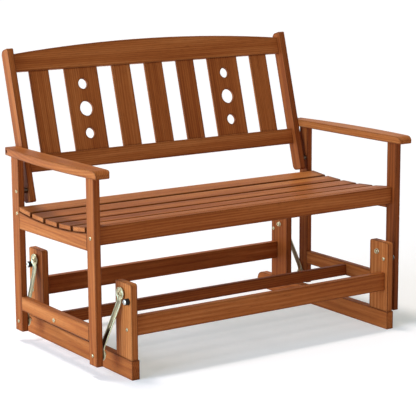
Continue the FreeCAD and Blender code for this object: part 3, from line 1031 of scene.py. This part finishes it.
@dataclass
class GlideArms:
    """The four pressed steel arms, joggled outwards, with a round eye at each end.

    Attributes:
        finish: Their plating.
        linkage: Where their pivots are.
        upper_face: How far out the inner face is at the upper eye.
        lower_face: How far out it is at the lower eye.
        eye_radius: The radius of both eyes.
        half_width: Half the width of the body between them.
        metal: The metal's thickness.
        rim_height: How far the lip stands up.
        rim_width: How wide the lip's slope is.
        rim_flat: The lip's level top, as a share of its width.
        rim_round: The rounding at the outline, as a share of the lip's width.
        rim_drop: How far the rounding falls, as a share of the lip's height.
        rim_hollow: How far the metal behind the lip is raised, as a share of its height.
        neck_run: The body's taper into an eye, as a share of the eye's radius.
        neck_power: How tightly the necks are rounded.
        upper_bend: The upper bend's distance from its pivot.
        lower_bend: The lower bend's distance from its pivot.
        bend_softness: The bends' rounding.
        unshaded_eye: Where painted shade starts round an eye, and its fade, as shares of the
            radius.
        shade_at_top: How much painted shade the channel has at its top, as a share of its foot.
        inner_shade: How much painted shade the inner face has, as a share of the outer one.
        stations: How many rings there are, and the two tips.
        across: How many points cross each face.
        crease: The angle from which an edge stays sharp.
    """

    finish: YellowZinc
    linkage: Linkage
    upper_face: float = 0.5068
    lower_face: float = 0.5545
    eye_radius: float = 0.0198
    half_width: float = 0.0108
    metal: float = 0.003
    rim_height: float = 0.0028
    rim_width: float = 0.0024
    rim_flat: float = 0.4
    rim_round: float = 0.3
    rim_drop: float = 0.25
    rim_hollow: float = 0.55
    neck_run: float = 0.6
    neck_power: float = 10.0
    upper_bend: float = 0.026
    lower_bend: float = 0.023
    bend_softness: float = 0.007
    # Painted shade in the channel: none round the eyes, less at the top and on the inner face.
    unshaded_eye: tuple[float, float] = (0.85, 0.5)
    shade_at_top: float = 0.72
    inner_shade: float = 0.5
    stations: int = 150
    across: int = 29
    crease: float = math.radians(50.0)

    def spread(self, length: float) -> np.ndarray:
        """Return the places along the arm, closer together round its eyes.

        The places are half of one less the cosine of an even row of angles, stretched from the
        top of one eye to the foot of the other.

        Args:
            length: The distance between the two pivots.

        Returns:
            Places measured down from the upper pivot, as a column.
        """
        turn = np.linspace(0.0, np.pi, self.stations)[1:-1, None]
        even = (1.0 - np.cos(turn)) / 2.0
        return -self.eye_radius + even * (length + 2.0 * self.eye_radius)

    def edge(self, along: np.ndarray, length: float) -> np.ndarray:
        """Return half the arm's width at each place along it.

        Each eye is a circle, and the body is straight between them. The three are joined by the
        tenth root of the sum of their tenth powers, which rounds the necks.

        Args:
            along: Places down from the upper pivot.
            length: The distance between the two pivots.

        Returns:
            The half widths.
        """
        upper = np.sqrt(np.maximum(self.eye_radius**2 - along**2, 0.0))
        lower = np.sqrt(np.maximum(self.eye_radius**2 - (along - length) ** 2, 0.0))
        taper = np.minimum(along, length - along) / (self.neck_run * self.eye_radius)
        body = self.half_width * np.clip(taper, 0.0, 1.0)
        power = self.neck_power
        return (upper**power + lower**power + body**power) ** (1.0 / power)

    def bend(self, along: np.ndarray, place: float) -> np.ndarray:
        """Return a ramp that starts softly at a place.

        It is half of a distance plus the root of that distance squared plus a softness squared.

        Args:
            along: Places down from the upper pivot.
            place: Where the ramp starts.

        Returns:
            The ramp's value at each place.
        """
        run = along - place
        return (run + np.sqrt(run**2 + self.bend_softness**2)) / 2.0

    def joggle(self, along: np.ndarray, length: float) -> np.ndarray:
        """Return how far out the arm's inner face is at each place.

        It steps outwards in a straight ramp between the two bends, which is the difference of
        their soft ramps over the distance between them.

        Args:
            along: Places down from the upper pivot.
            length: The distance between the two pivots.

        Returns:
            The places across the bench.
        """
        first, last = self.upper_bend, length - self.lower_bend
        step = (self.bend(along, first) - self.bend(along, last)) / (last - first)
        return self.upper_face + (self.lower_face - self.upper_face) * step

    def inward(self, along: np.ndarray, wide: np.ndarray, length: float) -> np.ndarray:
        """Return how far each point is inside the arm's outline.

        It is the largest of three values: the eyes' radius less the distance from each pivot,
        and between the pivots the body's half width less the distance from its middle line.

        Args:
            along: Places down from the upper pivot.
            wide: Places across the arm from its middle line.
            length: The distance between the two pivots.

        Returns:
            The distances.
        """
        from_upper = self.eye_radius - np.hypot(along, wide)
        from_lower = self.eye_radius - np.hypot(along - length, wide)
        between = (along > 0.0) & (along < length)
        from_side = np.where(between, self.half_width - np.abs(wide), -1.0)
        return np.maximum(np.maximum(from_upper, from_lower), from_side)

    def dirt_and_painted_shade(self, along: np.ndarray, wide: np.ndarray, length: float) -> np.ndarray:
        """Return how much painted shade a place gets: none round the eyes, and most at the foot.

        Args:
            along: Places down from the upper pivot.
            wide: Places across the arm from its middle line.
            length: The distance between the two pivots.

        Returns:
            Values from 0 to 1.
        """
        start, fade = self.unshaded_eye
        near_eye = np.minimum(np.hypot(along, wide), np.hypot(along - length, wide))
        clear = (near_eye - start * self.eye_radius) / (fade * self.eye_radius)
        down = np.clip(along / length, 0.0, 1.0)
        return np.clip(clear, 0.0, 1.0) * (self.shade_at_top + (1.0 - self.shade_at_top) * down)

    def arm(self, end: End) -> Shell:
        """Press one right-hand arm.

        A ring at each place along the arm runs across its outer face and back across its inner
        face. The outer face rises into a lip near the edge by a smooth step of the distance to
        the outline, and the inner face follows it at the metal's thickness.

        Args:
            end: The end of the bench that it hangs at.

        Returns:
            The arm's shell, shaded 1 in its channel and 0 on its lip and eyes.
        """
        top, foot = np.array(self.linkage.top(end)), np.array(self.linkage.foot(end))
        length = float(np.hypot(*(foot - top)))
        down = (foot - top) / length
        sideways = np.array([-down[1], down[0]])
        along = self.spread(length)
        share = np.sin(np.linspace(-np.pi / 2.0, np.pi / 2.0, self.across))[None, :]
        wide = self.edge(along, length) * share
        inward = self.inward(along, wide, length) / self.rim_width
        ramp = np.clip(inward - self.rim_flat, 0.0, 1.0)
        flat = ramp * ramp * (3.0 - 2.0 * ramp)
        lip = self.rim_height * (1.0 - flat)
        shoulder = np.clip(inward / self.rim_round, 0.0, 1.0)
        face = self.joggle(along, length)
        outer = face + self.metal + lip * (1.0 - self.rim_drop * (1.0 - shoulder))
        inner = face + lip * self.rim_hollow
        x = np.concatenate((outer, inner[:, ::-1]), axis=1)
        run = np.concatenate((wide, wide[:, ::-1]), axis=1)
        place = np.broadcast_to(along, run.shape)
        y = top[0] + place * down[0] + run * sideways[0]
        z = top[1] + place * down[1] + run * sideways[1]
        rings = np.stack((x, y, z), axis=-1)
        # Painted shade: the channel darkens towards the foot, where the leg shades it, and stays
        # clear round the eyes.
        channel_shading = flat * self.dirt_and_painted_shade(along, wide, length)
        shade = np.concatenate((channel_shading, self.inner_shade * channel_shading[:, ::-1]), axis=1)
        return Shell(rings, rings[[0, -1]].mean(axis=1), shade)

    def build(self) -> None:
        """Make the four arms, each riding on its own body."""
        for end in End:
            for hand in Hand:
                node = f"{end.name}_arm_{hand.name}".lower()
                shells = [self.arm(end).mirrored(hand)]
                plating = self.finish.material(node)
                body = f"glide_{node}"
                make_piece(f"pressed_{node}", shells, plating, body, node, self.crease)


@dataclass
class Fixings:
    """The socket bolts, nuts, washers and spacers, all turned on lines along X.

    Attributes:
        linkage: Where the pivots are.
        steel: The finish of most of them.
        dark_steel: The finish of the sleeves behind the legs.
        head_size: A head's radius and height in millimetres.
        rail_head_size: The same of the lower rail's larger head.
        nut_size: The same of the bumpers' nuts.
        armrest_seat: How far out the armrest bolt's head sits.
        leg_places: The heads on a front and a rear leg, front to back and in height.
        rail_place: The head on a lower rail.
        armrest_place: The head on an armrest.
        base_places: The stretchers' heads on the uprights.
        nut_places: The bumpers' nuts.
        sleeve_place: The sleeve between a rear leg and its back stile.
    """

    linkage: Linkage
    steel: BoltSteel
    dark_steel: BoltSteel
    head_size: tuple[float, float] = (5.5, 3.0)
    rail_head_size: tuple[float, float] = (6.6, 3.4)
    nut_size: tuple[float, float] = (6.2, 3.0)
    armrest_seat: float = 0.580
    leg_places: tuple[tuple[float, float], ...] = ((-0.277, 0.427), (0.194, 0.427), (0.194, 0.498))
    rail_place: tuple[float, float] = (-0.036, 0.125)
    armrest_place: tuple[float, float] = (0.2445, 0.6208)
    base_places: tuple[tuple[float, float], ...] = ((-0.338, 0.150), (0.261, 0.150))
    nut_places: tuple[tuple[float, float], ...] = ((-0.343, 0.235), (0.271, 0.235))
    sleeve_place: tuple[float, float] = (0.194, 0.498)

    def head(self, radius: float, height: float) -> Profile:
        """Return the profile of a low domed head with a hexagonal socket.

        Args:
            radius: The head's radius in millimetres.
            height: How far it stands from the face in millimetres.

        Returns:
            Rows for turned().
        """
        skirt = circles((0.0, -0.4), (radius, -0.4), (radius, 0.45 * height))
        dome = circles(
            (0.93 * radius, 0.76 * height), (0.8 * radius, 0.93 * height), (0.66 * radius, height)
        )
        socket = hexagons(
            (0.5 * radius, 0.98 * height),
            (0.46 * radius, 0.86 * height),
            (0.46 * radius, 0.2 * height),
        )
        return skirt + dome + socket + circles((0.0, 0.2 * height))

    def bench_bolts(self) -> list[Shell]:
        """Make the heads on a right-hand leg, rail and armrest.

        Returns:
            One shell for each head.
        """
        leg_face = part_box("front_leg_right")[1][0]
        head, rail_head = self.head(*self.head_size), self.head(*self.rail_head_size)
        heads = [turned(head, *place, leg_face) for place in self.leg_places]
        heads.append(turned(rail_head, *self.rail_place, leg_face))
        heads.append(turned(head, *self.armrest_place, self.armrest_seat))
        return heads

    def base_bolts(self) -> list[Shell]:
        """Return the stretcher bolts' heads on the right-hand uprights."""
        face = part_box("front_upright_right")[1][0]
        return [turned(self.head(*self.head_size), *place, face) for place in self.base_places]

    def bumper_nuts(self) -> list[Shell]:
        """Return the nuts inside the right-hand uprights that hold the bumpers."""
        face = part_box("front_upright_right")[0][0]
        return [turned(self.head(*self.nut_size), *place, face, -1.0) for place in self.nut_places]

    def stile_spacers(self) -> list[Shell]:
        """Make the sleeve between a right-hand rear leg and its back stile.

        Returns:
            The sleeve as one shell.
        """
        stile_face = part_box("back_stile_right")[1][0]
        inner_end = circles((0.0, -0.3), (7.3, -0.3), (8.0, 0.4))
        outer_end = circles((8.0, 15.1), (7.3, 15.8), (0.0, 15.8))
        return [turned(inner_end + outer_end, *self.sleeve_place, stile_face)]

    def upper_pivot(self, end: End) -> list[Shell]:
        """Make a right-hand upper pivot.

        Its profile runs outwards, with places measured from the middle of the bench: the nut
        behind the upright, the spacer beside it, and the washer and head outside the arm.

        Args:
            end: The end of the bench that it is at.

        Returns:
            The pivot as one shell.
        """
        nut_bore = circles((0.0, 479.6)) + hexagons((3.2, 479.6), (3.2, 477.0), (3.6, 476.6))
        nut = circles((6.4, 476.5), (7.3, 477.1), (7.5, 478.4), (7.5, 481.2))
        flange = circles((9.0, 481.8), (9.2, 482.4), (9.2, 483.7))
        shank = circles((5.0, 483.7), (5.0, 503.9))
        spacer = circles((10.4, 503.9), (11.0, 504.5), (11.0, 506.2), (10.4, 506.9))
        bearing = circles((5.0, 506.9), (5.0, 509.7))
        washer = circles((11.5, 509.7), (12.0, 510.1), (12.0, 510.9), (11.5, 511.3))
        head = circles((8.0, 511.3), (8.0, 513.6), (7.5, 514.6), (6.5, 515.1), (5.2, 515.1))
        socket = hexagons((4.3, 514.9), (4.0, 514.4), (4.0, 511.8)) + circles((0.0, 511.6))
        inner = nut_bore + nut + flange + shank
        return [turned(inner + spacer + bearing + washer + head + socket, *self.linkage.top(end))]

    def lower_pivot(self, end: End) -> list[Shell]:
        """Make a right-hand lower pivot.

        Its profile runs outwards, with places measured from the middle of the bench: the
        bolt's end, its nut and washer inside the arm, the spacer, and the head on the leg.

        Args:
            end: The end of the bench that it is at.

        Returns:
            The pivot as one shell.
        """
        tip = circles((0.0, 544.2), (3.2, 544.2), (3.9, 544.9), (4.0, 545.3), (6.7, 545.3))
        nut = hexagons((7.5, 546.0), (7.5, 551.5)) + circles((6.9, 552.2))
        washer = circles((11.5, 552.2), (12.0, 552.6), (12.0, 554.0), (11.6, 554.4))
        bearing = circles((4.0, 554.4), (4.0, 557.6))
        spacer = circles((10.4, 557.6), (11.0, 558.2), (11.0, 566.6))
        shank = circles((4.0, 566.6), (4.0, 587.6))
        head = circles((5.5, 587.6), (5.5, 589.3), (5.1, 590.3), (4.4, 590.8), (3.6, 591.0))
        socket = hexagons((2.8, 590.9), (2.5, 590.6), (2.5, 588.6)) + circles((0.0, 588.6))
        inner = tip + nut + washer + bearing
        return [turned(inner + spacer + shank + head + socket, *self.linkage.foot(end))]

    def build(self) -> None:
        """Make each kind of fixing for both hands as one piece."""
        front, rear = End.FRONT, End.REAR
        sets = (
            ("socket_heads_bench", self.bench_bolts(), "bench", "bench_bolts"),
            ("socket_heads_base", self.base_bolts(), "base", "base_bolts"),
            ("barrel_nuts_bumper", self.bumper_nuts(), "base", "bumper_nuts"),
            ("sleeves_stile", self.stile_spacers(), "bench", "stile_spacers"),
            ("pivots_front_upper", self.upper_pivot(front), "base", "front_upper_pivots"),
            ("pivots_rear_upper", self.upper_pivot(rear), "base", "rear_upper_pivots"),
            ("pivots_front_lower", self.lower_pivot(front), "bench", "front_lower_pivots"),
            ("pivots_rear_lower", self.lower_pivot(rear), "bench", "rear_lower_pivots"),
        )
        for name, shells, body, node in sets:
            steel = self.dark_steel if node == "stile_spacers" else self.steel
            make_piece(name, both_hands(shells), steel.material(name), body, node)


@dataclass
class Bumpers:
    """The rubber stops beside the arms, each held by a pale metal cap.

    Attributes:
        rubber: The finish of the stops.
        steel: The finish of the caps.
        front_place: The front stop's place front to back, and its height.
        rear_place: The same of the rear stop.
    """

    rubber: BumperRubber
    steel: BoltSteel
    front_place: tuple[float, float] = (-0.347, 0.238)
    rear_place: tuple[float, float] = (0.271, 0.235)

    def block(self) -> Profile:
        """Draw the rubber's profile, a drum with rounded rims and a shallow waist.

        Returns:
            Rows for turned(), with places measured from the upright's face.
        """
        inner_rim = circles((0.0, -0.2), (9.6, -0.2), (10.2, 0.8))
        waist = circles((10.1, 3.5), (9.7, 6.5), (10.1, 9.5))
        outer_rim = circles((10.2, 11.6), (9.7, 12.6), (8.6, 13.0), (0.0, 13.0))
        return inner_rim + waist + outer_rim

    def cap(self) -> Profile:
        """Draw the metal cap's profile, a dished washer with a hexagonal recess.

        Returns:
            Rows for turned(), with places measured from the upright's face.
        """
        edge = circles((0.0, 12.9), (7.8, 12.9), (8.2, 13.3), (8.1, 14.3))
        crown = circles((7.4, 15.2), (6.4, 15.8), (4.6, 15.9))
        recess = hexagons((3.4, 15.7), (3.2, 15.3), (3.2, 13.9)) + circles((0.0, 13.9))
        return edge + crown + recess

    def build(self) -> None:
        """Make the rubber and the caps at each end of the base."""
        upright_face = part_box("front_upright_right")[1][0]
        for end, place in (("front", self.front_place), ("rear", self.rear_place)):
            block = both_hands([turned(self.block(), *place, upright_face)])
            cap = both_hands([turned(self.cap(), *place, upright_face)])
            name = f"rubber_stops_{end}"
            rubber = self.rubber.material(name)
            make_piece(name, block, rubber, "base", f"{end}_bumpers")
            name = f"stop_caps_{end}"
            make_piece(name, cap, self.steel.material(name), "base")


def place_lamp(name: str, data: bpy.types.Light, place: Vector, target: Vector) -> bpy.types.Object:
    """Add a lamp to the scene and face it towards a point.

    Args:
        name: The lamp's name.
        data: The lamp's own settings.
        place: Where it stands.
        target: The point that it faces.

    Returns:
        The lamp.
    """
    lamp = bpy.data.objects.new(name, data)
    lamp.location = place
    lamp.rotation_euler = (place - target).to_track_quat("Z", "Y").to_euler()
    bpy.context.scene.collection.objects.link(lamp)
    return lamp


@dataclass(frozen=True)
class Sun:
    """A distant lamp, which lights the floor evenly as far as it goes.

    Attributes:
        name: The lamp's name.
        tilt: The angle in degrees between straight up and the lamp.
        heading: The side it stands on, in degrees from the back towards the right.
        spread: The angle in degrees that it fills, which softens its shadow.
        power: Its strength.
        colour: Its colour.
        distance: How far from the origin it stands, which changes nothing in its light.
    """

    name: str
    tilt: float
    heading: float
    spread: float
    power: float
    colour: Colour
    distance: float = 4.0

    def add(self) -> bpy.types.Object:
        """Add the lamp to the scene.

        Returns:
            The lamp.
        """
        data = bpy.data.lights.new(self.name, "SUN")
        data.angle = math.radians(self.spread)
        data.energy = self.power
        data.color = self.colour
        tilt, heading = math.radians(self.tilt), math.radians(self.heading)
        outward = math.sin(tilt)
        toward = Vector((outward * math.sin(heading), outward * math.cos(heading), math.cos(tilt)))
        return place_lamp(self.name, data, toward * self.distance, Vector())


@dataclass(frozen=True)
class Softbox:
    """A square lamp near the bench, which the camera doesn't see.

    Attributes:
        name: The lamp's name.
        place: Where it stands.
        target: The point that it faces.
        size: The length of its sides.
        power: Its strength in watts.
        colour: Its colour.
    """

    name: str
    place: Point
    target: Point
    size: float
    power: float
    colour: Colour = WHITE

    def add(self) -> bpy.types.Object:
        """Add the lamp to the scene.

        Returns:
            The lamp.
        """
        data = bpy.data.lights.new(self.name, "AREA")
        data.size = self.size
        data.energy = self.power
        data.color = self.colour
        lamp = place_lamp(self.name, data, Vector(self.place), Vector(self.target))
        lamp.visible_camera = False
        return lamp


@dataclass
class Studio:
    """The pale floor, the soft lamps and the camera at the photograph's angle.

    Attributes:
        camera_place: Where the camera stands.
        yaw: How far it is turned from the back towards the right.
        pitch: How far it looks up, or down below zero.
        roll: How far it leans.
        lens: Its focal length in millimetres, on a sensor as wide as the next value.
        sensor: The sensor's width in millimetres.
        camera_reach: How far it sees.
        floor_size: The length of the floor's sides.
        paper: The floor's colour under the lamps.
        glow: What is added to it where it is seen directly.
        sky: The strength of the light from all round.
        lamps: The lamps.
    """

    camera_place: Point = (-2.7749, -4.1602, 1.3855)
    yaw: float = math.radians(33.843)
    pitch: float = math.radians(-11.062)
    roll: float = math.radians(-0.352)
    lens: float = 133.65
    sensor: float = 36.0
    camera_reach: float = 200.0
    floor_size: float = 160.0
    paper: Colour = (0.803, 0.68, 0.683)
    glow: Colour = (0.312, 0.367, 0.345)
    sky: float = 0.3
    lamps: tuple[Sun | Softbox, ...] = (
        Sun("key_sun", 13.6, -30.0, 11.0, 1.45, (1.0, 1.06, 1.0)),
        Sun("low_sun", 72.0, -94.0, 50.0, 1.5, (0.95, 1.3, 1.75)),
        Softbox("side_box", (-2.4, -0.1, 0.42), (-0.3, 0.0, 0.4), 1.0, 13.0, (1.2, 1.85, 2.6)),
        Softbox("rim_box", (-1.95, 2.3, 0.45), (-0.3, 0.0, 0.4), 1.3, 20.0),
    )

    def camera(self) -> bpy.types.Object:
        """Add the camera that looks along the fitted direction.

        Returns:
            The camera.
        """
        data = bpy.data.cameras.new("photo_camera")
        data.sensor_width = self.sensor
        data.lens = self.lens
        data.clip_end = self.camera_reach
        heading = Vector((math.sin(self.yaw), math.cos(self.yaw), 0.0))
        ahead = heading * math.cos(self.pitch) + Vector((0.0, 0.0, math.sin(self.pitch)))
        level = Vector((heading.y, -heading.x, 0.0))
        upward = level.cross(ahead)
        right = level * math.cos(self.roll) + upward * math.sin(self.roll)
        up = upward * math.cos(self.roll) - level * math.sin(self.roll)
        turn = Matrix((right, up, -ahead)).transposed().to_4x4()
        camera = bpy.data.objects.new("photo_camera", data)
        camera.matrix_world = Matrix.Translation(self.camera_place) @ turn
        bpy.context.scene.collection.objects.link(camera)
        bpy.context.scene.camera = camera
        return camera

    def world(self) -> None:
        """Light evenly from all round, and show plain white behind the object."""
        graph = NodeGraph(bpy.data.worlds.new("studio"))
        strength = graph.span(graph.seen_directly(), 0.0, 1.0, self.sky, 1.0)
        inputs = {"Color": opaque(WHITE), "Strength": strength}
        graph.finish(graph.filled("ShaderNodeBackground", inputs).outputs["Background"])
        bpy.context.scene.world = graph.owner

    def floor(self) -> None:
        """Lay a white floor that keeps the object's shadow and shows white elsewhere."""
        half = self.floor_size / 2.0
        corners = np.array([[-1.0, -1.0, 0.0], [1.0, -1.0, 0.0], [1.0, 1.0, 0.0], [-1.0, 1.0, 0.0]])
        mesh = bpy.data.meshes.new("floor")
        mesh.from_pydata((half * corners).tolist(), [], [(0, 1, 2, 3)])
        floor = bpy.data.objects.new("floor", mesh)
        bpy.context.scene.collection.objects.link(floor)
        graph = NodeGraph.of_material("floor_paper")
        matt = graph.filled("ShaderNodeBsdfDiffuse", {"Color": opaque(self.paper)})
        shine = {"Color": opaque(self.glow), "Strength": graph.seen_directly()}
        glow = graph.filled("ShaderNodeEmission", shine)
        total = graph.add("ShaderNodeAddShader")
        for socket, shader in zip(total.inputs, (matt, glow)):
            graph.feed(socket, shader.outputs[0])
        graph.finish(total.outputs[0])
        dress(floor, graph.owner)

    def build(self) -> None:
        """Set up the camera, the world, the floor, the lamps and the plain view."""
        self.camera()
        self.world()
        self.floor()
        for lamp in self.lamps:
            lamp.add()
        bpy.context.scene.view_settings.view_transform = "Standard"
        log.info("studio ready")


def main() -> None:
    """Load the frame, dress every piece in order and set up the studio."""
    logging.basicConfig(level=logging.INFO, format="%(message)s")
    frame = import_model()
    linkage, wood = Linkage.from_record(frame["record"]), StainedWood()
    Timber(wood).dress_nodes(frame)
    SeatBearers(wood).build()
    GlideArms(YellowZinc(), linkage).build()
    Fixings(linkage, BoltSteel(), BoltSteel(Plating.BLACKENED)).build()
    Bumpers(BumperRubber(), BoltSteel(Plating.BRIGHT)).build()
    Studio().build()


if __name__ == "__main__":
    main()
